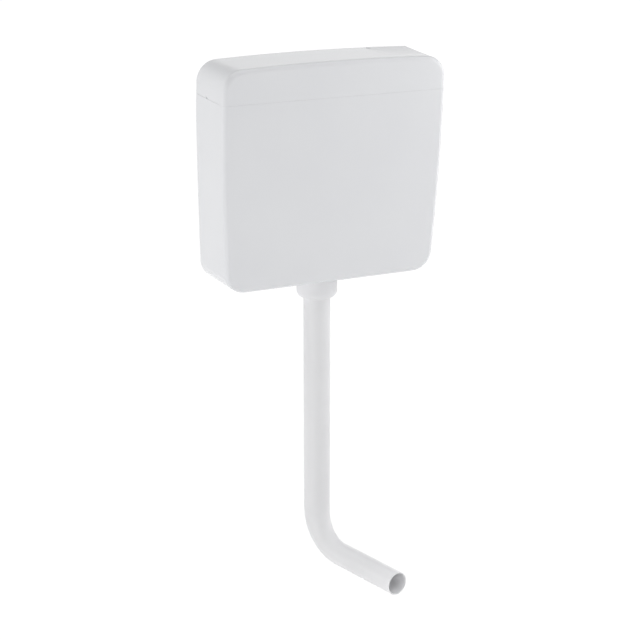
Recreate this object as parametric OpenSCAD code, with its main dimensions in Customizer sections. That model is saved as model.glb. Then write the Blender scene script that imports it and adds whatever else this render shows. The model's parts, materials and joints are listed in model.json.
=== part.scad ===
// Wall-hung toilet cistern: a bowed, tapered plastic tank with a lift-off lid, a sloping
// press button at the right-hand end of the lid, a flush valve that lifts off its seat,
// a float-operated fill valve, and a flush pipe that narrows through its bend.
//
// Millimetres. X runs to the right, Y runs into the wall and Z runs up. The origin lies on
// the wall, midway between the two wall-screw holes.

/* [Case] */
// Width of the front at its widest level
front_w = 426; // [410:1:440]
// Width of the front at the foot
front_foot_w = 403; // [385:1:410]
// Width of the back at its widest level
back_w = 420; // [410:1:430]
// Width of the back at the foot
back_foot_w = 414; // [400:1:420]
// Depth from the wall to the front, at the lid joint
depth_joint = 140; // [136:0.5:150]
// Depth from the wall to the front, at the foot
depth_foot = 118.5; // [116:0.5:130]
// Height of the lid joint above the wall screws
joint_z = 35; // [32:0.5:40]
// Height of the lid above the joint
lid_h = 61; // [58:0.5:70]
// Height of the tank below the joint
tank_h = 340.5; // [330:0.5:370]
// Drop from the lid joint to the widest level
widest_drop = 37; // [20:1:60]
// Fall of the top from its middle to its shoulders
crown_drop = 3.5; // [1:0.5:5]
// Rise of the top from the wall to the front
front_rise = 2.5; // [0:0.5:4]
// Draw-in of the sides towards the top, at the wall
back_draw = 6; // [0:0.5:8]
// Draw-in of the sides towards the top, at the front
front_draw = 1.3; // [0:0.1:4]
// Radius of the two upper corners, seen from the front
corner_r = 39; // [34:1:42]
// Radius of the two lower corners, seen from the front
foot_corner_r = 37; // [34:1:42]
// Radius along the front edges
edge_r = 9; // [6:0.5:11]
// Thickness of the moulded plastic
wall = 3.2; // [2.8:0.1:3.6]

/* [Lid joint] */
// Gap between the lid and the tank
joint_gap = 0.4; // [0.35:0.05:0.8]
// Height of the tank's tongue inside the lid
tongue_h = 7; // [5:0.5:9]
// Play between the tongue and the lid
tongue_fit = 0.4; // [0.35:0.05:0.6]
// Width of the release notch in each end of the lid
notch_w = 8; // [5:0.5:12]
// Height of the release notch
notch_h = 3.5; // [2:0.5:5]
// Distance of the release notch from the wall
notch_y = 58; // [50:1:70]

/* [Wall screws] */
// Distance between the two wall-screw holes
screw_spacing = 160; // [150:1:168]
// Diameter of the wall-screw holes
screw_hole_d = 9; // [7:0.5:10]

/* [Press button] */
// Distance of the button's middle from the right-hand side of the case
button_in = 52; // [51:0.5:55]
// Width of the button
button_w = 84; // [78:0.5:85]
// Length of the button from back to front
button_len = 98; // [92:0.5:100]
// Fall of the button towards the front, in degrees
button_tilt = 2.5; // [1:0.5:5]
// Height of the button's back edge above the lid
button_proud = 1.5; // [1:0.1:3]
// Depth of the finger dish along the button
button_dish = 1; // [0.5:0.1:2]
// Radius of the button's edge at the end of the lid
button_end_r = 6; // [3:0.5:7]
// Radius of the button's other edges
button_edge_r = 2.5; // [1:0.5:4]
// Gap round the button
button_gap = 0.8; // [0.6:0.1:1]
// Travel of the button
press_travel = 9; // [7:0.5:9]
// Diameter of the button's stem
stem_d = 12; // [10:0.5:13]
// Wire of the return spring
spring_wire = 1.2; // [1:0.1:1.4]
// Turns of the return spring
spring_turns = 5; // [4:0.5:6]

/* [Rocker] */
// Distance of the rocker's pin from the button's stem
rocker_arm = 51; // [47:0.5:53]
// Height of the rocker's pin above the lid joint
rocker_rise = 5; // [4:0.5:7]
// Depth of the bridge's seat below the lid joint
bridge_drop = 23; // [21:0.5:26]
// Diameter of the rocker's pin
rocker_pin_d = 6; // [5:0.5:7]
// Play between parts that move on each other
run_gap = 0.35; // [0.3:0.05:0.5]
// Lost motion between the button, the rocker and the lift rod
press_slack = 0.6; // [0.5:0.05:0.8]

/* [Outlet] */
// Distance of the flush pipe's axis from the wall
outlet_y = 52.5; // [52:0.5:56]
// Diameter of the well under the tank that hides the lock nut
well_d = 94; // [93:0.5:96]
// Depth of the well
well_h = 14; // [13:0.5:18]
// Wall of the threaded outlet
spigot_wall = 3.5; // [3:0.1:4]
// Diameter of the coupling nut
nut_d = 75; // [72:0.5:84]
// Height of the coupling nut
nut_h = 43; // [40:0.5:55]
// Radius of the coupling nut's lower edge
nut_edge_r = 12; // [6:0.5:12]
// Thickness of the coupling nut's floor under the seal
nut_floor = 8; // [5:0.5:10]
// Play in the threads
thread_fit = 0.15; // [0.1:0.05:0.3]

/* [Flush pipe] */
// Outer diameter of the upright pipe
pipe_d = 50; // [48:0.5:51]
// Outer diameter of the leg at the pan
leg_d = 44; // [40:0.5:46]
// Wall of the pipe
pipe_wall = 1.8; // [1.5:0.1:2.5]
// Radius of the bend's centre line
bend_r = 70; // [60:1:90]
// Drop from the tank's foot to the leg's axis
leg_drop = 542.5; // [400:0.5:700]
// Reach of the leg from the upright pipe's axis
leg_len = 232; // [190:1:280]
// Turn of the leg away from straight ahead, in degrees
leg_turn = 15; // [-30:1:30]

/* [Flush valve] */
// Height of the valve basket's upper ring above the seal
basket_h = 158; // [145:1:165]
// Diameter of the overflow tube
tube_d = 28; // [26:0.5:30]
// Depth of the overflow's mouth below the wall screws
overflow_drop = 42; // [40:0.5:55]
// Diameter of the flush float
flush_float_d = 60; // [52:0.5:62]
// Height of the flush float
flush_float_h = 58; // [45:0.5:62]
// Diameter of the lift rod
rod_d = 6; // [5:0.5:7]

/* [Fill valve] */
// Distance of the inlet's axis from the wall
inlet_y = 45; // [42:0.5:50]
// Drop of the inlet's axis below the wall screws
inlet_drop = 12; // [10:0.5:16]
// Diameter of the inlet's thread
inlet_d = 16.66; // [13.16:0.05:20.95]
// Reach of the inlet's thread outside the tank
inlet_reach = 24; // [20:0.5:30]
// Length of the float lever
float_arm = 48; // [46:0.5:50]
// Rise of the float from empty to full
float_travel = 15; // [10:0.5:16]
// Height of the float
fill_float_h = 60; // [45:0.5:70]
// Height of the silencer tube's mouth above the tank's foot
silencer_rise = 36; // [25:1:60]

/* [Hidden] */
$fn = 64;

white = [0.93, 0.93, 0.94];
grey = [0.62, 0.64, 0.67];
blue = [0.25, 0.45, 0.68];
black = [0.12, 0.12, 0.13];
foam = [0.88, 0.88, 0.85];
metal = [0.72, 0.72, 0.74];
brass = [0.78, 0.64, 0.34];

big = 700;
top_z = joint_z + lid_h;
foot_z = joint_z - tank_h;
widest_z = joint_z - widest_drop;
crown_x = front_w/2 - corner_r;
crown_lean = atan(2*crown_drop/crown_x);
tongue_inset = 0.56*wall;

corner_steps = 10;
side_steps = 6;
crown_steps = 4;
edge_steps = 5;

button_x = front_w/2 - button_in;
button_back = wall + 2.6;
button_front = button_back + button_len;
button_skin = 4;
button_side = 2;
button_corner_r = 5;
button_roll = atan(2*crown_drop*button_x/pow(crown_x, 2));
guide_wall = 2;
guide_floor = 3;
rocker_x = button_x - rocker_arm;
rocker_z = joint_z + rocker_rise;
bridge_z = joint_z - bridge_drop;
stem_foot_z = rocker_z + 8;
guide_z = stem_foot_z + press_travel + 1;
clip_z = guide_z - 2.5;
clip_t = 1.5;
clip_groove = 1;
spring_foot_z = guide_z + guide_floor + 0.3;
button_z = crown_z(button_x, 0) + button_proud;
spring_top_z = button_z - 14;
spring_d = stem_d + 6;

seat_z = foot_z + well_h + wall;
gasket_t = 3;
flange_t = 4;
flange_d = 84;
flange_z = seat_z + gasket_t;
lip_h = 4;
lip_z = flange_z + flange_t + lip_h;
spigot_bore = pipe_d + 1;
spigot_d = spigot_bore + 2*spigot_wall;
throat_d = pipe_d - 6;
pipe_top_z = foot_z + 1.5;
seal_h = 6;
nut_gap = 0.5;
nut_foot_z = foot_z - nut_gap - nut_h;
spigot_foot_z = nut_foot_z + nut_floor + seal_h;

valve_rest = 0.3;
seal_t = 3;
seal_z = lip_z + valve_rest;
disc_t = 3.5;
basket_d = 80;
basket_ring_z = seal_z + basket_h;
overflow_z = -overflow_drop;
head_d = 16;
head_t = 3;
nose_r = 3;
nose_z = rocker_z + 0.5;
head_z = nose_z + nose_r + press_slack;
rod_bar_z = overflow_z - 18;

inlet_z = -inlet_drop;
pad_d = 2*inlet_d;
pad_back_x = half_w(inlet_z, (inlet_y - pad_d/2)/depth(inlet_z));
pad_front_x = half_w(inlet_z, (inlet_y + pad_d/2)/depth(inlet_z));
pad_out_x = max(pad_back_x, pad_front_x) + 1.5;
pad_in_x = min(pad_back_x, pad_front_x) - wall - 5.5;
shank_bore = inlet_d - 6.6;
inlet_seal_t = 2.5;
shank_flange_t = 4.5;
inlet_nut_h = 7;
valve_x = pad_in_x - inlet_seal_t - shank_flange_t;
body_d = 30;
body_len = 45;
diaphragm_t = 2;
cap_len = 12;
cap_face = -body_len - diaphragm_t - cap_len;
plunger_d = 5.6;
plunger_tip = cap_face - 10;
pivot_x = plunger_tip - press_slack - 2.5;
pivot_z = -8;
float_pin_d = 4.4;
float_rod_d = 7;
float_x = pivot_x - float_arm;
float_nose_r = 2.5;
collar_d = 11;
collar_gap = 0.7;
eye_z = -24;
eye_t = 4;
float_top_z = eye_z - float_travel - 14;
spout_x = -17;
spout_d = 18;
spout_bore = spout_d - 6;
silencer_z = foot_z + silencer_rise - inlet_z;

function blend(a, b, t) = a + (b - a)*t;

// Half the width of the case at height z, from the back (t = 0) to the front (t = 1)
function widest(t) = blend(back_w, front_w, t)/2;
function foot(t) = blend(back_foot_w, front_foot_w, t)/2;
function draw(z, t) = z < widest_z ? widest(t) - foot(t) : blend(back_draw, front_draw, t);
function reach(z) = z < widest_z ? widest_z - foot_z : top_z - widest_z;
function half_w(z, t) = widest(t) - draw(z, t)*pow((z - widest_z)/reach(z), 2);

// Angle by which the side leans inwards at height z
function side_lean(z, t) = atan(2*draw(z, t)*(z - widest_z)/pow(reach(z), 2));

function crown_z(x, t) = top_z + front_rise*t - crown_drop*pow(x/crown_x, 2);
function depth(z) = blend(depth_foot, depth_joint, (z - foot_z)/tank_h);

function arc(centre, r, from, to) =
    [for (i = [0:corner_steps])
        let (a = blend(from, to, i/corner_steps))
        centre + r*[cos(a), sin(a)]];

// Right-hand half of the case's front view, from the flat foot to the middle of the top
function half_outline(inset, t) =
    let (
        low_z = foot_z + foot_corner_r,
        low_lean = side_lean(low_z, t),
        low_x = half_w(low_z + foot_corner_r*sin(low_lean), t) - foot_corner_r*cos(low_lean),
        high_lean = side_lean(top_z - corner_r, t),
        high_x = half_w(top_z - corner_r, t) - corner_r*cos(high_lean),
        high_z = crown_z(high_x, t) - corner_r*cos(crown_lean),
        low = arc([low_x, low_z], foot_corner_r - inset, -90, low_lean),
        high = arc([high_x, high_z], corner_r - inset, high_lean, 90 - crown_lean),
        side_from = low[corner_steps][1],
        side_to = high[0][1],
        crown_from = high[corner_steps][0]
    )
    concat(
        low,
        [for (i = [1:side_steps - 1])
            let (z = blend(side_from, side_to, i/side_steps))
            [half_w(z, t) - inset, z]],
        high,
        [for (i = [1:crown_steps])
            let (x = blend(crown_from, 0, i/crown_steps))
            [x, crown_z(x, t) - inset]]
    );

function outline(inset, t) =
    let (half = half_outline(inset, t))
    concat(half, [for (i = [len(half) - 2:-1:0]) [-half[i][0], half[i][1]]]);

// Closed skin over a stack of rings that run anticlockwise seen from the last ring
function skin_faces(rings, points) =
    concat(
        [[for (i = [0:points - 1]) i]],
        [for (j = [0:rings - 2], i = [0:points - 1])
            let (k = (i + 1)%points)
            [(j + 1)*points + i, (j + 1)*points + k, j*points + k]],
        [for (j = [0:rings - 2], i = [0:points - 1])
            let (k = (i + 1)%points)
            [(j + 1)*points + i, j*points + k, j*points + i]],
        [[for (i = [points - 1:-1:0]) (rings - 1)*points + i]]
    );

module skin(rings)
    polyhedron(points = [for (ring = rings) each ring],
               faces = skin_faces(len(rings), len(rings[0])), convexity = 6);

// The whole case as one solid, drawn in by the given inset on every side
module case_form(inset = 0) {
    r = edge_r - inset;
    back = [for (p = outline(inset, 0)) [p[0], -inset, p[1]]];
    front = [for (i = [0:edge_steps])
        let (
            a = 90*i/edge_steps,
            draw = inset + r*(1 - cos(a)),
            behind = inset + r*(1 - sin(a))
        )
        [for (p = outline(draw, 1)) [p[0], behind - depth(p[1]), p[1]]]];
    skin(concat([back], front));
}

module slab(from, to)
    translate([-big, -big, from]) cube([2*big, 2*big, to - from]);

module tube(d_out, d_in, h)
    difference() {
        cylinder(d = d_out, h = h);
        translate([0, 0, -1]) cylinder(d = d_in, h = h + 2);
    }

// A child drawn upwards is turned to run to the right, or out from the wall
module along_x() rotate([0, 90, 0]) children();
module along_y() rotate([90, 0, 0]) children();

// A block given by its middle in X and Y and by its lower and upper faces
module block(x, y, w, l, from, to)
    translate([x - w/2, y - l/2, from]) cube([w, l, to - from]);

// A block with round upright edges, given by its left, right, front and back faces
module round_block(left, right, front, back, r, from, to)
    translate([0, 0, from]) linear_extrude(to - from) {
        translate([left + r, front]) square([right - left - 2*r, back - front]);
        translate([left, front + r]) square([right - left, back - front - 2*r]);
        for (x = [left + r, right - r], y = [front + r, back - r]) translate([x, y]) circle(r);
    }

module at_outlet(z) translate([0, -outlet_y, z]) children();
module at_valve() translate([valve_x, -inlet_y, inlet_z]) children();
module at_float() at_valve() translate([float_x, 0, 0]) children();

module tank_shell() color(white) {
    hole_x = screw_spacing/2;
    boss_d = screw_hole_d + 18;
    ledge_w = 26;
    ledge_h = 8;
    ledge_reach = 8;
    front_in = depth(bridge_z) - wall;
    difference() {
        union() {
            difference() {
                union() {
                    intersection() {
                        case_form();
                        slab(foot_z - 1, joint_z - joint_gap/2);
                    }
                    intersection() {
                        case_form(tongue_inset);
                        slab(joint_z - 8, joint_z + tongue_h);
                    }
                }
                case_form(wall);
            }
            at_outlet(foot_z + wall/2) cylinder(d = well_d + 2*wall, h = well_h + wall/2);
            for (x = [-hole_x, hole_x])
                translate([x, -wall/2, 0]) along_y() cylinder(d = boss_d, h = wall/2 + 3);
            block(rocker_x, -(wall + ledge_reach)/2, ledge_w, wall + ledge_reach - 3,
                  bridge_z - ledge_h, bridge_z);
            block(rocker_x, -front_in + ledge_reach/2 - 0.5, ledge_w, ledge_reach + 2,
                  bridge_z - ledge_h, bridge_z);
            translate([pad_in_x, -inlet_y, inlet_z]) along_x()
                cylinder(d = pad_d, h = pad_out_x - pad_in_x);
        }
        at_outlet(foot_z - 1) cylinder(d = well_d, h = well_h + 1);
        at_outlet(foot_z) cylinder(d = spigot_d + 2*thread_fit, h = big);
        for (x = [-hole_x, hole_x])
            translate([x, 1, 0]) along_y() cylinder(d = screw_hole_d, h = 12);
        translate([pad_in_x - 1, -inlet_y, inlet_z]) along_x()
            cylinder(d = inlet_d + 2*thread_fit, h = pad_out_x - pad_in_x + 2);
    }
}

module insulation_liner() color(foam) {
    fit = 0.2;
    thick = 4;
    rim_z = inlet_z - pad_d/2 - 12;
    difference() {
        intersection() {
            case_form(wall + fit);
            slab(foot_z, rim_z);
        }
        case_form(wall + fit + thick);
        at_outlet(foot_z) cylinder(d = well_d + 2*wall + 2, h = well_h + wall + 2);
    }
}

// Opening in the lid for the button, grown by the given amount
module button_well(grow, from, to)
    round_block(button_x - button_w/2 - grow, button_x + button_w/2 + grow,
                -button_front - grow, -button_back + grow, button_corner_r, from, to);

module lid() color(white) {
    bar_w = spring_d + 8;
    difference() {
        union() {
            difference() {
                intersection() {
                    case_form();
                    slab(joint_z + joint_gap/2, big);
                }
                case_form(wall);
                intersection() {
                    case_form(tongue_inset - tongue_fit);
                    slab(joint_z - 1, joint_z + tongue_h + tongue_fit);
                }
            }
            intersection() {
                case_form(wall/2);
                difference() {
                    button_well(button_gap + guide_wall, guide_z, top_z + front_rise);
                    button_well(button_gap, guide_z - 1, big);
                }
            }
            block(button_x, -(button_back + button_front)/2, bar_w, button_len + 2*guide_wall,
                  guide_z, guide_z + guide_floor);
        }
        button_well(button_gap, guide_z + guide_floor, big);
        translate([button_x, -outlet_y, guide_z - 1])
            cylinder(d = stem_d + 2*run_gap, h = guide_floor + 2);
        for (side = [-1, 1])
            block(side*front_w/2, -notch_y, 2*wall, notch_w, joint_z - 1, joint_z + notch_h);
    }
}

// A child is set on the slope of the button's top, with the middle of its back edge as origin
module on_slope()
    translate([button_x, -button_back, button_z]) rotate([button_tilt, button_roll, 0]) children();

// Everything under the slope of the button's top, lowered by the given amount
module under_slope(lower)
    on_slope() translate([-big/2, -big/2, -big - lower]) cube([big, big, big]);

// Profile under a flat top that ends in round edges, at its left and at its right
module rounded_top(left, right, r_left, r_right) {
    translate([left + r_left, -big]) square([right - left - r_left - r_right, big]);
    translate([-big, -big]) square([big + left + r_left, big - r_left]);
    translate([right - r_right, -big]) square([big, big - r_right]);
    translate([left + r_left, -r_left]) circle(r_left);
    translate([right - r_right, -r_right]) circle(r_right);
}

// Everything under the button's top, with its round edges
module under_button_top() {
    over = 0.2;
    half = button_w/2 + over;
    on_slope() intersection() {
        translate([0, big/2, 0]) along_y() linear_extrude(big)
            rounded_top(-half, half, button_edge_r, button_end_r);
        translate([-big/2, 0, 0]) rotate([90, 0, 90]) linear_extrude(big)
            rounded_top(-button_len - over, over, button_edge_r, button_edge_r);
    }
}

module press_button() color(white) {
    skirt_z = guide_z + guide_floor + press_travel + 1;
    chord = button_len - 12;
    dish_r = (pow(chord/2, 2) + pow(button_dish, 2))/(2*button_dish);
    difference() {
        union() {
            difference() {
                intersection() {
                    button_well(0, skirt_z, big);
                    under_button_top();
                }
                intersection() {
                    button_well(-button_side, skirt_z - 1, big);
                    under_slope(button_skin);
                }
            }
            intersection() {
                translate([button_x, -outlet_y, stem_foot_z + stem_d/2]) {
                    cylinder(d = stem_d, h = top_z);
                    translate([0, 0, spring_top_z - stem_foot_z - stem_d/2])
                        cylinder(d = spring_d + 4, h = top_z);
                }
                under_slope(button_skin/2);
            }
            translate([button_x, -outlet_y, stem_foot_z + stem_d/2]) sphere(d = stem_d);
        }
        on_slope() translate([-big/2, -button_len/2, dish_r - button_dish]) along_x()
            cylinder(r = dish_r, h = big, $fn = 256);
        translate([button_x, -outlet_y, clip_z - 0.1])
            tube(stem_d + 2, stem_d - 2*clip_groove, clip_t + 0.2);
    }
}

module button_spring() color(metal) {
    steps = 8;
    sides = 6;
    rings = spring_turns*steps;
    rise = spring_top_z - spring_foot_z - spring_wire;
    pitch = rise/spring_turns;
    echo(least_spring_gap = (rise - press_travel)/spring_turns - spring_wire);
    translate([button_x, -outlet_y, spring_foot_z + spring_wire/2])
        skin([for (j = [rings:-1:0])
            let (turn = 360*j/steps)
            [for (i = [0:sides - 1])
                let (
                    a = 360*i/sides,
                    r = (spring_d + spring_wire*cos(a))/2
                )
                [r*cos(turn), r*sin(turn), pitch*j/steps + spring_wire*sin(a)/2]]]);
}

module stem_clip() color(metal)
    translate([button_x, -outlet_y, clip_z])
        difference() {
            tube(stem_d + 7, stem_d - 2*clip_groove, clip_t);
            translate([0, -3, -1]) cube([stem_d, 6, clip_t + 2]);
        }

module bridge() color(grey) {
    beam_w = 22;
    beam_h = 9;
    cheek_t = 4;
    cheek_gap = 17 + 2*run_gap;
    beam_back = wall + 0.5;
    beam_front = depth(bridge_z) - wall - 1.5;
    difference() {
        union() {
            block(rocker_x, -(beam_back + beam_front)/2, beam_w, beam_front - beam_back,
                  bridge_z, bridge_z + beam_h);
            for (side = [-1, 1])
                translate([rocker_x, -outlet_y + side*(cheek_gap + cheek_t)/2, 0]) {
                    block(0, 0, 16, cheek_t, bridge_z + 1, rocker_z);
                    translate([0, cheek_t/2, rocker_z]) along_y() cylinder(d = 16, h = cheek_t);
                }
        }
        translate([rocker_x, 0, rocker_z]) along_y() cylinder(d = rocker_pin_d, h = big);
        block(rocker_x, -(beam_back + beam_front)/2, beam_w - 6, beam_front - beam_back - 8,
              bridge_z - 1, bridge_z + beam_h - 3);
    }
}

module rocker_lever() color(blue) {
    hub_d = 16;
    hub_l = 17;
    web = 8;
    slot = rod_d + 2.4;
    prong = 4;
    pad_z = stem_foot_z - press_slack;
    difference() {
        union() {
            translate([rocker_x, -outlet_y + hub_l/2, rocker_z]) along_y()
                cylinder(d = hub_d, h = hub_l);
            translate([0, -outlet_y + web/2, 0]) along_y() linear_extrude(web)
                polygon([[9, nose_z - 3], [rocker_x, rocker_z - 7], [button_x + 7, pad_z - 6],
                         [button_x + 7, pad_z], [button_x - 8, pad_z],
                         [rocker_x, rocker_z + 5], [9, nose_z + 2]]);
            block(9, -outlet_y, 8, slot + 2*prong, nose_z - 2.5, nose_z + 2.5);
            for (side = [-1, 1])
                translate([0, -outlet_y + side*(slot + prong)/2, nose_z]) {
                    block(0, 0, 18, prong, -2, 2);
                    translate([0, prong/2, 0]) along_y() cylinder(r = nose_r, h = prong);
                }
            block(button_x, -outlet_y, 14, 14, pad_z - 4, pad_z);
        }
        translate([rocker_x, 0, rocker_z]) along_y()
            cylinder(d = rocker_pin_d + 2*run_gap, h = big);
    }
}

module rocker_pin() color(metal) {
    length = 28;
    translate([rocker_x, -outlet_y + length/2, rocker_z]) along_y() {
        cylinder(d = rocker_pin_d, h = length);
        translate([0, 0, -1.5]) cylinder(d = rocker_pin_d + 3, h = 1.5);
    }
}

module lift_rod() color(grey)
    at_outlet(0) {
        translate([0, 0, rod_bar_z - 4]) cylinder(d = rod_d, h = head_z + 1 - rod_bar_z + 4);
        translate([0, 0, head_z]) cylinder(d = head_d, h = head_t);
        translate([0, 0, rod_bar_z + 6]) cylinder(d = rod_d + 4, h = 3);
    }

module overflow_tube() color(grey) {
    bore = tube_d - 4;
    stub_d = tube_d - 2;
    disc_z = seal_z + seal_t;
    at_outlet(0) {
        difference() {
            union() {
                translate([0, 0, seal_z - 4]) cylinder(d = stub_d, h = 5 + seal_t);
                translate([0, 0, disc_z]) cylinder(d = throat_d + 10, h = disc_t);
                translate([0, 0, disc_z]) cylinder(d = tube_d, h = overflow_z - disc_z);
                translate([0, 0, overflow_z - 10])
                    cylinder(d1 = tube_d, d2 = tube_d + 8, h = 10);
            }
            translate([0, 0, seal_z - 5]) cylinder(d = bore, h = big);
            translate([0, 0, overflow_z - 10])
                cylinder(d1 = bore, d2 = bore + 8.8, h = 11);
        }
        difference() {
            translate([0, 0, rod_bar_z]) intersection() {
                cylinder(d = tube_d - 1, h = 6);
                block(0, 0, tube_d, rod_d + 6, 0, 6);
            }
            translate([0, 0, rod_bar_z - 1]) cylinder(d = rod_d, h = 8);
        }
    }
}

module flush_float() color(white) {
    foot = seal_z + 48;
    skin_t = 1.8;
    at_outlet(foot)
        difference() {
            cylinder(d = flush_float_d, h = flush_float_h);
            translate([0, 0, -1])
                tube(flush_float_d - 2*skin_t, tube_d + 2*skin_t, flush_float_h - skin_t + 1);
            translate([0, 0, -1]) cylinder(d = tube_d, h = flush_float_h + 2);
        }
}

module valve_seal() color(black)
    at_outlet(seal_z) tube(throat_d + 14, tube_d - 2, seal_t);

module seal_clamp() color(grey)
    at_outlet(seal_z - 3) tube(throat_d - 4, tube_d - 2, 3);

module valve_basket() color(grey) {
    foot = flange_z + flange_t;
    post_w = 9;
    post_t = 4;
    ring_h = 8;
    sleeve_bore = tube_d + 1.2;
    at_outlet(0) {
        translate([0, 0, foot]) tube(basket_d, basket_d - 12, 5);
        for (a = [45:90:315]) rotate(a)
            block((basket_d - post_t)/2 - 0.5, 0, post_t, post_w, foot + 1, basket_ring_z + ring_h);
        translate([0, 0, basket_ring_z]) {
            tube(basket_d, basket_d - 8, ring_h);
            tube(sleeve_bore + 6, sleeve_bore, ring_h + 10);
            for (a = [45:90:315]) rotate(a)
                translate([sleeve_bore/2 + 1, -1.5, 0])
                    cube([(basket_d - sleeve_bore)/2 - 3, 3, ring_h]);
        }
    }
}

module valve_seat() color(grey)
    at_outlet(0)
        difference() {
            union() {
                translate([0, 0, flange_z]) cylinder(d = flange_d, h = flange_t);
                translate([0, 0, spigot_foot_z]) cylinder(d = spigot_d, h = flange_z - spigot_foot_z + 1);
                translate([0, 0, flange_z + 1]) cylinder(d = throat_d + 6, h = flange_t + lip_h - 1);
            }
            translate([0, 0, spigot_foot_z - 1]) cylinder(d = throat_d, h = big);
            translate([0, 0, spigot_foot_z - 1])
                cylinder(d = spigot_bore, h = pipe_top_z - spigot_foot_z + 2);
        }

module outlet_gasket() color(black)
    at_outlet(seat_z) tube(flange_d, spigot_d + 1, gasket_t);

module back_nut() color(grey) {
    height = well_h - 1.5;
    outer_d = spigot_d + 20;
    at_outlet(foot_z + well_h - height)
        difference() {
            tube(outer_d, spigot_d + 2*thread_fit, height);
            for (a = [0:45:315]) rotate(a)
                translate([outer_d/2, 0, -1]) cylinder(d = 10, h = height + 2);
        }
}

module coupling_nut() color(white) {
    at_outlet(nut_foot_z) rotate_extrude()
        difference() {
            union() {
                translate([0, nut_edge_r]) square([nut_d/2, nut_h - nut_edge_r]);
                square([nut_d/2 - nut_edge_r, nut_edge_r + 1]);
                translate([nut_d/2 - nut_edge_r, nut_edge_r]) circle(nut_edge_r);
            }
            translate([-big, -1]) square([big + pipe_d/2 + 0.3, big]);
            translate([0, nut_floor]) square([spigot_d/2 + thread_fit, big]);
        }
}

module pipe_seal() color(black)
    at_outlet(0) rotate_extrude()
        polygon([[pipe_d/2, spigot_foot_z], [spigot_d/2, spigot_foot_z],
                 [spigot_d/2, spigot_foot_z - seal_h], [pipe_d/2, spigot_foot_z - seal_h]]);

// The pipe's run as a solid: straight down, round the tapering bend, and out along the leg
module pipe_run(d, leg, lead) {
    steps = 16;
    sides = 40;
    sink = 0.02;
    axis_z = foot_z - leg_drop;
    bend_z = axis_z + bend_r;
    at_outlet(0) {
        translate([0, 0, bend_z]) cylinder(d = d, h = pipe_top_z - bend_z + lead);
        rotate(leg_turn) {
            translate([0, -bend_r, axis_z]) along_y() cylinder(d = leg, h = leg_len - bend_r + lead);
            skin([for (j = [-1:steps + 1])
                let (
                    a = 90*min(max(j, 0), steps)/steps,
                    lap = [0, j > steps ? -1 : 0, j < 0 ? 1 : 0],
                    r = blend(d, leg, sin(a))/2 - sink,
                    centre = [0, bend_r*(cos(a) - 1), bend_z - bend_r*sin(a)] + lap
                )
                [for (i = [0:sides - 1])
                    let (b = -360*i/sides)
                    centre + r*[cos(b), sin(b)*cos(a), -sin(b)*sin(a)]]]);
        }
    }
}

module flush_pipe() color(white)
    difference() {
        pipe_run(pipe_d, leg_d, 0);
        pipe_run(pipe_d - 2*pipe_wall, leg_d - 2*pipe_wall, 1);
    }

module inlet_shank() color(brass)
    at_valve() along_x()
        difference() {
            union() {
                cylinder(d = inlet_d - 0.6, h = pad_out_x - valve_x + inlet_nut_h + 1);
                translate([0, 0, pad_out_x - valve_x + inlet_nut_h])
                    cylinder(d = inlet_d, h = inlet_reach - inlet_nut_h);
                cylinder(d = pad_d - 4, h = shank_flange_t);
            }
            translate([0, 0, -1]) cylinder(d = shank_bore, h = big);
        }

module inlet_seal() color(black)
    translate([pad_in_x - inlet_seal_t, -inlet_y, inlet_z]) along_x()
        tube(pad_d - 4, inlet_d + 0.2, inlet_seal_t);

module inlet_nut() color(brass) {
    height = inlet_nut_h;
    flats = inlet_d + 7.4;
    translate([pad_out_x, -inlet_y, inlet_z]) along_x()
        difference() {
            intersection_for (a = [0, 60, 120])
                rotate(a) block(0, 0, flats, 2*flats, 0, height);
            translate([0, 0, -1]) cylinder(d = inlet_d + 2*thread_fit, h = height + 2);
        }
}

module inlet_filter() color(grey)
    translate([pad_out_x + inlet_reach, -inlet_y, inlet_z]) rotate([0, -90, 0])
        difference() {
            union() {
                cylinder(d = shank_bore, h = 2);
                cylinder(d = shank_bore - 2, h = 22);
            }
            translate([0, 0, -1]) cylinder(d = shank_bore - 4, h = 21.5);
            for (z = [5:4:17], a = [0, 90])
                translate([0, 0, z]) rotate([90, 0, a])
                    cylinder(d = 2, h = inlet_d, center = true, $fn = 24);
        }

module fill_valve_body() color(blue)
    at_valve()
        difference() {
            union() {
                translate([-body_len, 0, 0]) along_x() cylinder(d = body_d, h = body_len);
                translate([spout_x, 0, -body_d/2 - 12]) cylinder(d = spout_d, h = body_d/2 + 12);
            }
            translate([-body_len - 1, 0, 0]) along_x() cylinder(d = body_d - 8, h = 37);
            translate([-body_len + 30, 0, 0]) along_x() cylinder(d = shank_bore - 2, h = body_len);
            translate([spout_x, 0, -body_d/2 - 13]) cylinder(d = spout_bore, h = body_d/2 + 13);
        }

module diaphragm() color(black)
    at_valve() translate([-body_len - diaphragm_t, 0, 0]) along_x()
        cylinder(d = body_d - 2, h = diaphragm_t);

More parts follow.
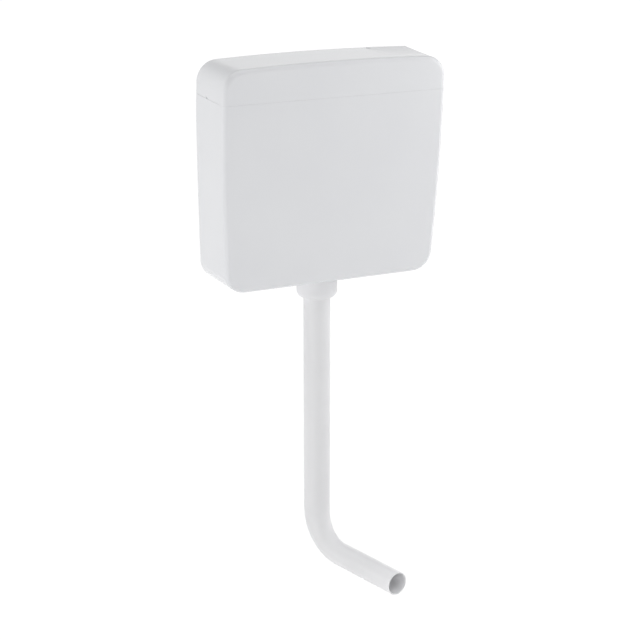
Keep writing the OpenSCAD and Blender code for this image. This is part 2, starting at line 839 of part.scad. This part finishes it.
module valve_cap() color(blue) {
    ear_t = 3;
    ear_gap = 12 + 2*run_gap;
    at_valve()
        difference() {
            union() {
                translate([cap_face, 0, 0]) along_x() cylinder(d = body_d, h = cap_len);
                for (side = [-1, 1])
                    translate([pivot_x - 5, side*(ear_gap + ear_t)/2 - ear_t/2, pivot_z - 5])
                        cube([cap_face - pivot_x + 6, ear_t, 10]);
                translate([float_x, -5, eye_z]) cube([cap_face + 9 - float_x, 10, eye_t]);
                translate([cap_face, -5, eye_z]) cube([9, 10, -eye_z - 5]);
                translate([float_x, 0, eye_z]) cylinder(d = float_rod_d + 9, h = eye_t);
            }
            translate([cap_face - 1, 0, 0]) along_x()
                cylinder(d = plunger_d + 2*run_gap, h = cap_len + 2);
            translate([cap_face + cap_len - 5, 0, 0]) along_x() cylinder(d = body_d - 8, h = 6);
            translate([pivot_x, 20, pivot_z]) along_y() cylinder(d = float_pin_d, h = 40);
            translate([float_x, 0, eye_z - 1])
                cylinder(d = float_rod_d + 2*run_gap, h = eye_t + 2);
        }
}

module valve_plunger() color(grey)
    at_valve() translate([plunger_tip, 0, 0]) along_x() {
        cylinder(d = plunger_d, h = cap_face + cap_len - 3.2 - plunger_tip);
        translate([0, 0, cap_face + cap_len - 4.4 - plunger_tip]) cylinder(d = 12, h = 1.2);
    }

module float_lever() color(blue) {
    hub_d = 11;
    hub_l = 12;
    slot = float_rod_d + 1.6;
    prong = 3.6;
    at_valve()
        difference() {
            union() {
                translate([pivot_x, hub_l/2, pivot_z]) along_y() cylinder(d = hub_d, h = hub_l);
                translate([pivot_x, hub_l/2, 0]) along_y() cylinder(r = 2.5, h = hub_l);
                block(pivot_x, 0, 4, hub_l, pivot_z, 0);
                block((pivot_x + float_x)/2 + 5, 0, float_arm - 10, 5, pivot_z - 1.5, pivot_z + 1.5);
                block(float_x + 10, 0, 6, slot + 2*prong, pivot_z - 1.5, pivot_z + 1.5);
                for (side = [-1, 1])
                    translate([float_x, side*(slot + prong)/2, pivot_z]) {
                        block(4, 0, 15, prong, -1.5, 1.5);
                        translate([0, prong/2, 0]) along_y() cylinder(r = float_nose_r, h = prong);
                    }
            }
            translate([pivot_x, 20, pivot_z]) along_y()
                cylinder(d = float_pin_d + 2*run_gap, h = 40);
        }
}

module float_pin() color(metal) {
    length = 19.5;
    at_valve() translate([pivot_x, length/2, pivot_z]) along_y() cylinder(d = float_pin_d, h = length);
}

module adjusting_rod() color(white)
    at_float() {
        from = float_top_z - 20;
        stop = float_nose_r + collar_gap;
        translate([0, 0, from]) cylinder(d = float_rod_d, h = pivot_z + stop + 5 - from);
        translate([0, 0, pivot_z + stop]) cylinder(d = collar_d, h = 2.5);
        translate([0, 0, pivot_z - stop - 2.5]) cylinder(d = collar_d, h = 2.5);
        translate([0, 0, float_top_z]) cylinder(d = float_rod_d + 6, h = 3);
    }

module fill_float() color(grey)
    at_float() {
        half_x = 23;
        half_y = 28;
        skin_t = 1.8;
        from = float_top_z - fill_float_h;
        difference() {
            round_block(-half_x, half_x, -half_y, half_y, 8, from, float_top_z);
            round_block(skin_t - half_x, half_x - skin_t, skin_t - half_y, half_y - skin_t, 6.2,
                        from - 1, float_top_z - skin_t);
            translate([0, 0, from]) cylinder(d = float_rod_d, h = fill_float_h + 1);
        }
    }

module silencer_tube() color(grey)
    at_valve() translate([spout_x, 0, silencer_z]) {
        length = -body_d/2 - 2 - silencer_z;
        difference() {
            cylinder(d = spout_d + 3, h = length);
            translate([0, 0, -1]) cylinder(d = spout_bore, h = length + 2);
            translate([0, 0, length - 10]) cylinder(d = spout_d, h = 11);
        }
    }

tank_shell();
insulation_liner();
lid();
press_button();
button_spring();
stem_clip();
bridge();
rocker_lever();
rocker_pin();
lift_rod();
overflow_tube();
flush_float();
valve_seal();
seal_clamp();
valve_basket();
valve_seat();
outlet_gasket();
back_nut();
coupling_nut();
pipe_seal();
flush_pipe();
inlet_shank();
inlet_seal();
inlet_nut();
inlet_filter();
fill_valve_body();
diaphragm();
valve_cap();
valve_plunger();
float_lever();
float_pin();
adjusting_rod();
fill_float();
silencer_tube();
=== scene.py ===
"""Looks for the wall-hung toilet cistern: finishes, the pieces drawn finer here, light and camera."""

import json
import math

import bpy
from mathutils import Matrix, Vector


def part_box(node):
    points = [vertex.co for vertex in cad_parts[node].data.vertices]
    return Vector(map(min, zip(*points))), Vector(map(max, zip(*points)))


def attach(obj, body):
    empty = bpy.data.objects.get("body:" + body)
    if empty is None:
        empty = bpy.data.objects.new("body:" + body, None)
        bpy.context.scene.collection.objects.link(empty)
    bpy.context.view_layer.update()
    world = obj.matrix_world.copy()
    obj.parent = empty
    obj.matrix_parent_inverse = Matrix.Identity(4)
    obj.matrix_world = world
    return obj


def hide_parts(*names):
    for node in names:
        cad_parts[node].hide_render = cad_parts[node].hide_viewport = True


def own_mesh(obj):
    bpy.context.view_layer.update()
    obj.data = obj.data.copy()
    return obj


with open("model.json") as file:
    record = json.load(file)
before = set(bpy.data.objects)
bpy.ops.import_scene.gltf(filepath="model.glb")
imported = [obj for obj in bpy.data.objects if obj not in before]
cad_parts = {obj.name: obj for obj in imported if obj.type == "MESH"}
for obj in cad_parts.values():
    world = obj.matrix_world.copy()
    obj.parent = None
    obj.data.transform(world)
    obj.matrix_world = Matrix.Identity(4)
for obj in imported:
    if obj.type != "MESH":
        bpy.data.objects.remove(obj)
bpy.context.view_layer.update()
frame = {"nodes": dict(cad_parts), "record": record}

MM = 0.001

# A Mix node's colour sockets share their names with its other sockets, so they go by number.
MIX_SHARE = 0
MIX_FROM = 6
MIX_TO = 7
MIX_RESULT = 2


def linear(colour):
    """An sRGB hex colour as the linear RGBA that a shader socket takes."""
    levels = [int(colour[i:i + 2], 16) / 255 for i in (1, 3, 5)]
    return [v / 12.92 if v <= 0.04045 else ((v + 0.055) / 1.055) ** 2.4 for v in levels] + [1.0]


def add(tree, kind, inputs=None, **settings):
    """Adds a node. Each input is a plain value, or the output socket that feeds it."""
    node = tree.nodes.new(kind)
    for name, value in settings.items():
        setattr(node, name, value)
    for name, value in (inputs or {}).items():
        if isinstance(value, bpy.types.NodeSocket):
            tree.links.new(value, node.inputs[name])
        else:
            node.inputs[name].default_value = value
    return node


def per_metre(size_mm):
    """The texture scale that gives a pattern of this size."""
    return 1000 / size_mm


def new_finish(name):
    """A new material with an empty node tree: it, its tree and its object coordinates in metres."""
    material = bpy.data.materials.new(name)
    material.use_nodes = True
    tree = material.node_tree
    tree.nodes.clear()
    place = add(tree, "ShaderNodeTexCoord").outputs["Object"]
    return material, tree, place


def close_finish(tree, surface):
    """Gives the tree its output."""
    add(tree, "ShaderNodeOutputMaterial", {"Surface": surface.outputs[0]})


def moulded_white(name, dark, light, rough_from, rough_to, ior):
    # White plastic, injection moulded: an even, slightly cool white, with faint waves a few
    # centimetres long where it shrank as it cooled. ABS from a polished tool, which the case is
    # made of, has a soft gloss. Polypropylene, which the collar is made of, is duller and waxy.
    material, tree, place = new_finish(name)
    tint = add(tree, "ShaderNodeTexNoise", {"Vector": place, "Scale": per_metre(140), "Detail": 1.0})
    shrink = add(tree, "ShaderNodeTexNoise", {"Vector": place, "Scale": per_metre(45), "Detail": 0.0})
    # The tool's polish leaves a peel of about half a millimetre, drawn at 2 mm so that it shows.
    peel = add(tree, "ShaderNodeTexNoise", {"Vector": place, "Scale": per_metre(2), "Detail": 2.0})
    colour = add(tree, "ShaderNodeMix", {
        MIX_SHARE: tint.outputs[0], MIX_FROM: linear(dark), MIX_TO: linear(light)}, data_type="RGBA")
    rough = add(tree, "ShaderNodeMapRange", {
        "Value": peel.outputs[0], "To Min": rough_from, "To Max": rough_to})
    waves = add(tree, "ShaderNodeBump", {"Height": shrink.outputs[0], "Distance": 0.05 * MM})
    polished = add(tree, "ShaderNodeBump", {
        "Height": peel.outputs[0], "Distance": 0.002 * MM, "Normal": waves.outputs[0]})
    shader = add(tree, "ShaderNodeBsdfPrincipled", {
        "Base Color": colour.outputs[MIX_RESULT], "Roughness": rough.outputs[0],
        "Normal": polished.outputs[0], "IOR": ior})
    close_finish(tree, shader)
    return material


def white_pipe():
    # Polypropylene pipe, extruded: a little softer in gloss than the case, with fine lines drawn
    # down its length by the die. Its thin wall lets light through, so the bore glows a little.
    material, tree, place = new_finish("polypropylene_extruded_white")
    along = add(tree, "ShaderNodeMapping", {"Vector": place, "Scale": (1, 1, 0.02)})
    # Die lines are a few tenths of a millimetre apart, drawn at 1.5 mm so that they show.
    lines = add(tree, "ShaderNodeTexNoise", {
        "Vector": along.outputs[0], "Scale": per_metre(1.5), "Detail": 1.0})
    tint = add(tree, "ShaderNodeTexNoise", {"Vector": place, "Scale": per_metre(90), "Detail": 1.0})
    colour = add(tree, "ShaderNodeMix", {
        MIX_SHARE: tint.outputs[0], MIX_FROM: linear("#ECECEE"), MIX_TO: linear("#F1F1F3")},
        data_type="RGBA")
    rough = add(tree, "ShaderNodeMapRange", {"Value": lines.outputs[0], "To Min": 0.26, "To Max": 0.38})
    drawn = add(tree, "ShaderNodeBump", {"Height": lines.outputs[0], "Distance": 0.004 * MM})
    shader = add(tree, "ShaderNodeBsdfPrincipled", {
        "Base Color": colour.outputs[MIX_RESULT], "Roughness": rough.outputs[0],
        "Normal": drawn.outputs[0], "IOR": 1.49, "Subsurface Weight": 0.5,
        "Subsurface Radius": (4 * MM, 4 * MM, 4 * MM), "Subsurface Scale": 1.0})
    close_finish(tree, shader)
    return material


def bead_foam():
    # Polystyrene foam, expanded in a mould: beads of about 4 mm pressed flat against each other,
    # dull and off-white, with a dark line between the beads.
    material, tree, place = new_finish("polystyrene_expanded_foam")
    beads = add(tree, "ShaderNodeTexVoronoi", {"Vector": place, "Scale": per_metre(4)},
                feature="DISTANCE_TO_EDGE")
    dome = add(tree, "ShaderNodeMapRange", {"Value": beads.outputs[0], "From Max": 0.25},
               interpolation_type="SMOOTHSTEP")
    colour = add(tree, "ShaderNodeMix", {
        MIX_SHARE: dome.outputs[0], MIX_FROM: linear("#DCDBD7"), MIX_TO: linear("#F3F2EF")},
        data_type="RGBA")
    swell = add(tree, "ShaderNodeBump", {"Height": dome.outputs[0], "Distance": 0.1 * MM})
    shader = add(tree, "ShaderNodeBsdfPrincipled", {
        "Base Color": colour.outputs[MIX_RESULT], "Roughness": 0.85, "Normal": swell.outputs[0],
        "IOR": 1.3})
    close_finish(tree, shader)
    return material


def acetal(name, dark, light):
    # Acetal, injection moulded in a spark-eroded tool: a fine even grain and a dull waxy sheen.
    material, tree, place = new_finish(name)
    # The grain is about 0.2 mm, drawn at 0.8 mm so that it shows.
    grain = add(tree, "ShaderNodeTexNoise", {"Vector": place, "Scale": per_metre(0.8), "Detail": 3.0})
    cloud = add(tree, "ShaderNodeTexNoise", {"Vector": place, "Scale": per_metre(25), "Detail": 1.0})
    colour = add(tree, "ShaderNodeMix", {
        MIX_SHARE: cloud.outputs[0], MIX_FROM: linear(dark), MIX_TO: linear(light)}, data_type="RGBA")
    rough = add(tree, "ShaderNodeMapRange", {"Value": grain.outputs[0], "To Min": 0.38, "To Max": 0.52})
    eroded = add(tree, "ShaderNodeBump", {"Height": grain.outputs[0], "Distance": 0.02 * MM})
    shader = add(tree, "ShaderNodeBsdfPrincipled", {
        "Base Color": colour.outputs[MIX_RESULT], "Roughness": rough.outputs[0],
        "Normal": eroded.outputs[0], "IOR": 1.48})
    close_finish(tree, shader)
    return material


def black_rubber():
    # EPDM rubber, press moulded: nearly black, dull, with a pale bloom in cloudy patches.
    material, tree, place = new_finish("epdm_moulded_black")
    bloom = add(tree, "ShaderNodeTexNoise", {"Vector": place, "Scale": per_metre(6), "Detail": 4.0})
    colour = add(tree, "ShaderNodeMix", {
        MIX_SHARE: bloom.outputs[0], MIX_FROM: linear("#1A1A1B"), MIX_TO: linear("#333334")},
        data_type="RGBA")
    rough = add(tree, "ShaderNodeMapRange", {"Value": bloom.outputs[0], "To Min": 0.6, "To Max": 0.8})
    pressed = add(tree, "ShaderNodeBump", {"Height": bloom.outputs[0], "Distance": 0.02 * MM})
    shader = add(tree, "ShaderNodeBsdfPrincipled", {
        "Base Color": colour.outputs[MIX_RESULT], "Roughness": rough.outputs[0],
        "Normal": pressed.outputs[0], "IOR": 1.5})
    close_finish(tree, shader)
    return material


def turned_metal(name, dark, light, axis_scale, rough_from, rough_to):
    # A metal turned or drawn to size: a bright colour crossed by the fine rings or lines that the
    # tool leaves, which break the highlights up.
    material, tree, place = new_finish(name)
    across = add(tree, "ShaderNodeMapping", {"Vector": place, "Scale": axis_scale})
    # Tool marks are about 0.1 mm apart, drawn at 0.5 mm so that they show.
    marks = add(tree, "ShaderNodeTexNoise", {
        "Vector": across.outputs[0], "Scale": per_metre(0.5), "Detail": 2.0})
    colour = add(tree, "ShaderNodeMix", {
        MIX_SHARE: marks.outputs[0], MIX_FROM: linear(dark), MIX_TO: linear(light)}, data_type="RGBA")
    rough = add(tree, "ShaderNodeMapRange", {
        "Value": marks.outputs[0], "To Min": rough_from, "To Max": rough_to})
    cut = add(tree, "ShaderNodeBump", {"Height": marks.outputs[0], "Distance": 0.01 * MM})
    shader = add(tree, "ShaderNodeBsdfPrincipled", {
        "Base Color": colour.outputs[MIX_RESULT], "Roughness": rough.outputs[0],
        "Normal": cut.outputs[0], "Metallic": 1.0})
    close_finish(tree, shader)
    return material


ABS = moulded_white("abs_moulded_gloss_white", "#E3E4E7", "#E8E9EB",
                    rough_from=0.20, rough_to=0.28, ior=1.53)
COLLAR = moulded_white("polypropylene_moulded_white", "#E8E8EA", "#EDEDEF",
                       rough_from=0.42, rough_to=0.50, ior=1.49)
PIPE = white_pipe()
FOAM = bead_foam()
GREY = acetal("acetal_moulded_grey", "#8E9196", "#9A9DA2")
BLUE = acetal("acetal_moulded_blue", "#3F6E9E", "#4A7AAB")
RUBBER = black_rubber()
STEEL = turned_metal("stainless_steel_drawn", "#A9A9AC", "#C4C4C6",
                     axis_scale=(1, 0.05, 1), rough_from=0.22, rough_to=0.36)
BRASS = turned_metal("brass_turned", "#B5924F", "#CDAA66",
                     axis_scale=(1, 0.02, 0.02), rough_from=0.2, rough_to=0.32)

slot_finish = {
    "white_plastic": ABS, "foam": FOAM, "grey_plastic": GREY, "blue_plastic": BLUE,
    "rubber": RUBBER, "steel": STEEL, "brass": BRASS,
}
# The pipe and its collar share the case's slot, but not its finish.
own_finish = {"flush_pipe": PIPE, "coupling_nut": COLLAR}

# Packed corners this close together are one, and faces that meet at a smaller bend have no edge.
WELD = 0.002 * MM
EDGE_BEND = math.radians(28)


def smooth_form():
    """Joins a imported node's split faces, and shades them smoothly up to real edges."""
    tree = bpy.data.node_groups.new("smooth_form", "GeometryNodeTree")
    tree.interface.new_socket("Geometry", in_out="INPUT", socket_type="NodeSocketGeometry")
    tree.interface.new_socket("Geometry", in_out="OUTPUT", socket_type="NodeSocketGeometry")
    given = add(tree, "NodeGroupInput")
    joined = add(tree, "GeometryNodeMergeByDistance", {"Geometry": given.outputs[0], "Distance": WELD})
    plain = add(tree, "GeometryNodeRemoveAttribute", {
        "Geometry": joined.outputs[0], "Name": "custom_normal"})
    round_faces = add(tree, "GeometryNodeSetShadeSmooth", {
        "Geometry": plain.outputs[0], "Shade Smooth": True}, domain="FACE")
    bend = add(tree, "GeometryNodeInputMeshEdgeAngle")
    gentle = add(tree, "FunctionNodeCompare", {"A": bend.outputs[0], "B": EDGE_BEND},
                 operation="LESS_THAN", data_type="FLOAT")
    edges = add(tree, "GeometryNodeSetShadeSmooth", {
        "Geometry": round_faces.outputs[0], "Shade Smooth": gentle.outputs[0]}, domain="EDGE")
    add(tree, "NodeGroupOutput", {"Geometry": edges.outputs[0]})
    return tree


SMOOTH = smooth_form()


def shade_form(piece):
    """Gives a node's form its smooth shading."""
    piece.modifiers.new("smooth_form", "NODES").node_group = SMOOTH
    even = piece.modifiers.new("even_shading", "WEIGHTED_NORMAL")
    even.keep_sharp = True


for row in frame["record"]["subparts"]:
    piece = frame["nodes"][row["node"]]
    piece.data.materials.clear()
    piece.data.materials.append(own_finish.get(row["node"], slot_finish[row["material_slot"]]))
    shade_form(piece)


def put(name, data):
    """A new object in the scene."""
    thing = bpy.data.objects.new(name, data)
    bpy.context.scene.collection.objects.link(thing)
    return thing


def skin(rings, loop=False):
    """Faces over a run of rings of points.

    A loop closes on itself, and a plain run gets a cap at each end.
    """
    sides = len(rings[0])
    last = len(rings) - 1
    steps = [(j, j + 1) for j in range(last)] + ([(last, 0)] if loop else [])
    faces = []
    for a, b in steps:
        for i in range(sides):
            k = (i + 1) % sides
            faces.append((a * sides + i, a * sides + k, b * sides + k, b * sides + i))
    if not loop:
        faces += [tuple(range(sides))[::-1], tuple(last * sides + i for i in range(sides))]
    return faces


def new_piece(name, rings, material, stands_for, body, crisp=40, loop=False):
    """A piece skinned over rings, which takes the place of a CAD node.

    Edges that bend more than crisp degrees stay sharp.
    """
    mesh = bpy.data.meshes.new(name)
    mesh.from_pydata([point for ring in rings for point in ring], [], skin(rings, loop))
    mesh.shade_smooth()
    mesh.set_sharp_from_angle(angle=math.radians(crisp))
    mesh.materials.append(material)
    piece = put(name, mesh)
    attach(piece, body)
    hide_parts(stands_for)
    return piece


def wound_spring():
    """The button's return spring: five open turns of round wire, and a closed turn at each end."""
    low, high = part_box("button_spring")
    middle = (low + high) / 2
    height = high.z - low.z
    wire_r = 0.6 * MM
    coil_r = (high.x - low.x) / 2 - wire_r
    open_turns = 5
    closed_rise = 2 * wire_r
    open_rise = (height - 2 * wire_r - 2 * closed_rise) / open_turns
    rings_per_turn = 40
    sides = 12
    rings = []
    for j in range((open_turns + 2) * rings_per_turn + 1):
        turn = j / rings_per_turn
        closed_so_far = min(turn, 1) + max(turn - open_turns - 1, 0)
        open_so_far = min(max(turn - 1, 0), open_turns)
        lift = closed_rise * closed_so_far + open_rise * open_so_far
        ring = []
        for i in range(sides):
            a = -math.tau * i / sides
            r = coil_r + wire_r * math.cos(a)
            ring.append((middle.x + r * math.cos(math.tau * turn),
                         middle.y + r * math.sin(math.tau * turn),
                         low.z + wire_r + lift + wire_r * math.sin(a)))
        rings.append(ring)
    spring = new_piece("return_spring", rings, STEEL, "button_spring", "lid")
    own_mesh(spring)


def all_round(radius):
    """The same radius at each angle."""
    return lambda angle: radius


def round_inlet(stations, sides, low, high):
    """Rings round the inlet's axis, which runs to the right.

    A station gives how far along it is, and a function from an angle to a radius.
    """
    middle = (low + high) / 2
    angles = [math.tau * i / sides for i in range(sides)]
    return [[(low.x + along, middle.y + radius(a) * math.cos(a), middle.z + radius(a) * math.sin(a))
             for a in angles] for along, radius in stations]


def threaded_shank():
    """The brass inlet: a flange in the tank and, outside it, a 3/8 inch pipe thread, 19 turns an inch."""
    low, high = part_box("inlet_shank")
    length = high.x - low.x
    flange_r = (high.y - low.y) / 2
    flange_t = 4.5 * MM
    edge = 0.5 * MM
    bore_r = 5.03 * MM
    crest_r = 8.33 * MM
    depth = 0.8 * MM
    root_r = crest_r - depth
    pitch = 1.337 * MM
    thread_from = length - 19 * MM
    taper = 1.2 * MM
    rings_per_turn = 10
    sides = 64

    # The first turn rises out of the core, and the last one is turned away to a taper.
    def thread(along):
        fade = min(max((along - thread_from) / pitch, 0), 1) * min(max((length - along) / taper, 0), 1)
        return lambda a: root_r + depth * fade * (0.5 - 0.5 * math.cos(math.tau * along / pitch - a))

    plain = [(0, bore_r), (0, flange_r - edge), (edge, flange_r), (flange_t - edge, flange_r),
             (flange_t, flange_r - edge), (flange_t, root_r)]
    stations = [(along, all_round(r)) for along, r in plain]
    count = int((length - thread_from) / pitch * rings_per_turn)
    for j in range(count + 1):
        along = thread_from + (length - thread_from) * j / count
        stations.append((along, thread(along)))
    stations += [(length, all_round(bore_r + edge)), (length - edge, all_round(bore_r))]
    rings = round_inlet(stations, sides, low, high)
    new_piece("threaded_shank", rings, BRASS, "inlet_shank", "cistern", crisp=50, loop=True)


def hexagon_nut():
    """The brass nut that draws the inlet up against the tank, with corners chamfered on the lathe."""
    low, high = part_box("inlet_nut")
    height = high.x - low.x
    flat_r = (high.z - low.z) / 2
    bore_r = 8.48 * MM
    edge = 0.7 * MM
    # The chamfer starts just inside the flats, and leans at about 30 degrees to the nut's face.
    chamfer_r = 0.98 * flat_r
    chamfer_slope = 1.73
    # Rings stand close together where the chamfer cuts the corners.
    rise = [0, 0.25 * MM, 0.5 * MM, 0.75 * MM, 1.0 * MM, 1.3 * MM, 1.7 * MM, 2.2 * MM]
    sides = 96

    def flanks(along):
        limit = chamfer_r + chamfer_slope * min(along, height - along)
        return lambda a: min(flat_r / math.cos(a % (math.pi / 3) - math.pi / 6), limit)

    levels = rise + [height - along for along in reversed(rise)]
    bore = [(height, bore_r + edge), (height - edge, bore_r), (edge, bore_r), (0, bore_r + edge)]
    stations = [(along, flanks(along)) for along in levels]
    stations += [(along, all_round(r)) for along, r in bore]
    rings = round_inlet(stations, sides, low, high)
    new_piece("hexagon_nut", rings, BRASS, "inlet_nut", "cistern", crisp=25, loop=True)


def seated_lid():
    """The lid as it sits in use: its front edge settles towards the tank, and its back keeps the gap."""
    mesh = frame["nodes"]["lid"].data.copy()
    mesh.name = "seated_lid"
    edge_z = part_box("lid")[0].z
    edge_depth = 0.05 * MM
    back_y = -70 * MM
    front_y = -125 * MM
    settle = 0.25 * MM
    for point in mesh.vertices:
        if point.co.z < edge_z + edge_depth:
            share = min(max((point.co.y - back_y) / (front_y - back_y), 0), 1)
            point.co.z -= settle * share
    piece = put("seated_lid", mesh)
    shade_form(piece)
    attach(piece, "lid")
    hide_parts("lid")


wound_spring()
threaded_shank()
hexagon_nut()
seated_lid()


def ray_kinds(tree):
    """Outputs that say whether a ray comes from the camera, and whether from gloss or glass."""
    path = add(tree, "ShaderNodeLightPath")
    mirrored = add(tree, "ShaderNodeMath", {
        0: path.outputs["Is Glossy Ray"], 1: path.outputs["Is Transmission Ray"]}, operation="MAXIMUM")
    return path.outputs["Is Camera Ray"], mirrored.outputs[0]


def studio_paper():
    # Seamless studio paper: it shows as white, and the object's shadow still falls on it.
    material, tree, place = new_finish("studio_paper_white")
    fibre = add(tree, "ShaderNodeTexNoise", {"Vector": place, "Scale": per_metre(3), "Detail": 3.0})
    tone = add(tree, "ShaderNodeMix", {
        MIX_SHARE: fibre.outputs[0], MIX_FROM: linear("#F0F0F0"), MIX_TO: linear("#F4F4F4")},
        data_type="RGBA")
    paper = add(tree, "ShaderNodeBsdfDiffuse", {"Color": tone.outputs[MIX_RESULT]})
    shade = add(tree, "ShaderNodeBsdfDiffuse", {"Color": linear("#7C7C7C")})
    glow = add(tree, "ShaderNodeEmission", {"Color": linear("#FFFFFF"), "Strength": 0.9})
    shown = add(tree, "ShaderNodeAddShader", {0: shade.outputs[0], 1: glow.outputs[0]})
    direct, mirrored = ray_kinds(tree)
    seen = add(tree, "ShaderNodeMath", {0: direct, 1: mirrored}, operation="MAXIMUM")
    surface = add(tree, "ShaderNodeMixShader", {
        0: seen.outputs[0], 1: paper.outputs[0], 2: shown.outputs[0]})
    close_finish(tree, surface)
    return material


# The leg enters the pan about 0.4 m above the floor.
FLOOR_Z = -1.25
FLOOR_HALF = 40.0
floor_corners = [(x * FLOOR_HALF, y * FLOOR_HALF, FLOOR_Z) for x, y in ((-1, -1), (1, -1), (1, 1), (-1, 1))]
floor_mesh = bpy.data.meshes.new("studio_floor")
floor_mesh.from_pydata(floor_corners, [], [(0, 1, 2, 3)])
floor_mesh.materials.append(studio_paper())
floor = put("studio_floor", floor_mesh)


def studio_world():
    """White walls up to eye level, brighter behind the cistern, a dark gap above, and a lit ceiling."""
    world = bpy.data.worlds.new("studio")
    world.use_nodes = True
    tree = world.node_tree
    tree.nodes.clear()
    # A ray's way has a Y from -1 in front to 1 behind, and a Z from 0 at eye level to 1 overhead.
    way = add(tree, "ShaderNodeTexCoord").outputs["Generated"]
    parts = add(tree, "ShaderNodeSeparateXYZ", {"Vector": way})
    wall = add(tree, "ShaderNodeMapRange", {
        "Value": parts.outputs["Y"], "From Min": -0.4, "From Max": 0.4, "To Min": 0.6, "To Max": 1.05},
        interpolation_type="SMOOTHSTEP")
    # Gloss and glass show the walls at least as white as the camera does.
    direct, mirrored = ray_kinds(tree)
    shown = add(tree, "ShaderNodeMath", {0: wall.outputs[0], 1: mirrored}, operation="MAXIMUM")
    below = add(tree, "ShaderNodeMapRange", {
        "Value": parts.outputs["Z"], "From Min": 0.2, "From Max": 0.5,
        "To Min": shown.outputs[0], "To Max": 0.0}, interpolation_type="SMOOTHSTEP")
    above = add(tree, "ShaderNodeMapRange", {
        "Value": parts.outputs["Z"], "From Min": 0.6, "From Max": 0.85, "To Min": 0.0, "To Max": 1.2},
        interpolation_type="SMOOTHSTEP")
    level = add(tree, "ShaderNodeMath", {0: below.outputs[0], 1: above.outputs[0]}, operation="ADD")
    studio = add(tree, "ShaderNodeBackground", {
        "Color": linear("#FFFFFF"), "Strength": level.outputs[0]})
    white = add(tree, "ShaderNodeBackground", {"Color": linear("#FFFFFF"), "Strength": 1.0})
    mixed = add(tree, "ShaderNodeMixShader", {0: direct, 1: studio.outputs[0], 2: white.outputs[0]})
    add(tree, "ShaderNodeOutputWorld", {"Surface": mixed.outputs[0]})
    return world


bpy.context.scene.world = studio_world()


def softbox(name, place, aim, width, height, power):
    """A rectangular studio light that looks at a point."""
    light = bpy.data.lights.new(name, "AREA")
    light.shape = "RECTANGLE"
    light.size = width
    light.size_y = height
    light.energy = power
    box = put(name, light)
    box.location = place
    box.rotation_euler = (Vector(aim) - Vector(place)).to_track_quat("-Z", "Y").to_euler()


softbox("left_side", (-1.9, 0.3, 0.1), (-0.2, -0.07, -0.2), width=1.0, height=1.8, power=4.9)
softbox("left_low", (-1.5, -1.0, -0.7), (-0.05, -0.07, -0.5), width=1.7, height=1.5, power=8.6)
softbox("right_near", (1.0, -0.85, 0.15), (0.15, -0.14, -0.1), width=0.5, height=0.9, power=3.8)
softbox("right_high", (1.3, -1.6, 1.25), (0.1, -0.1, 0), width=2.0, height=1.6, power=5.8)
softbox("right_side", (1.6, -0.3, -0.2), (0.2, -0.07, -0.3), width=0.6, height=1.6, power=4.4)

# The camera stands to the left of the cistern and above it, as in the photograph.
CAMERA_AT = (-1.2453, -2.7825, 0.5753)
CAMERA_YAW = 24.634
CAMERA_PITCH = 17.944
LENS_MM = 95.57
SENSOR_MM = 36
FARTHEST = 200
camera = put("camera", bpy.data.cameras.new("camera"))
camera.location = CAMERA_AT
camera.rotation_euler = (math.radians(90 - CAMERA_PITCH), 0, math.radians(-CAMERA_YAW))
camera.data.sensor_width = SENSOR_MM
camera.data.lens = LENS_MM
camera.data.clip_end = FARTHEST
bpy.context.scene.camera = camera
bpy.context.scene.view_settings.view_transform = "Standard"

bpy.context.view_layer.update()
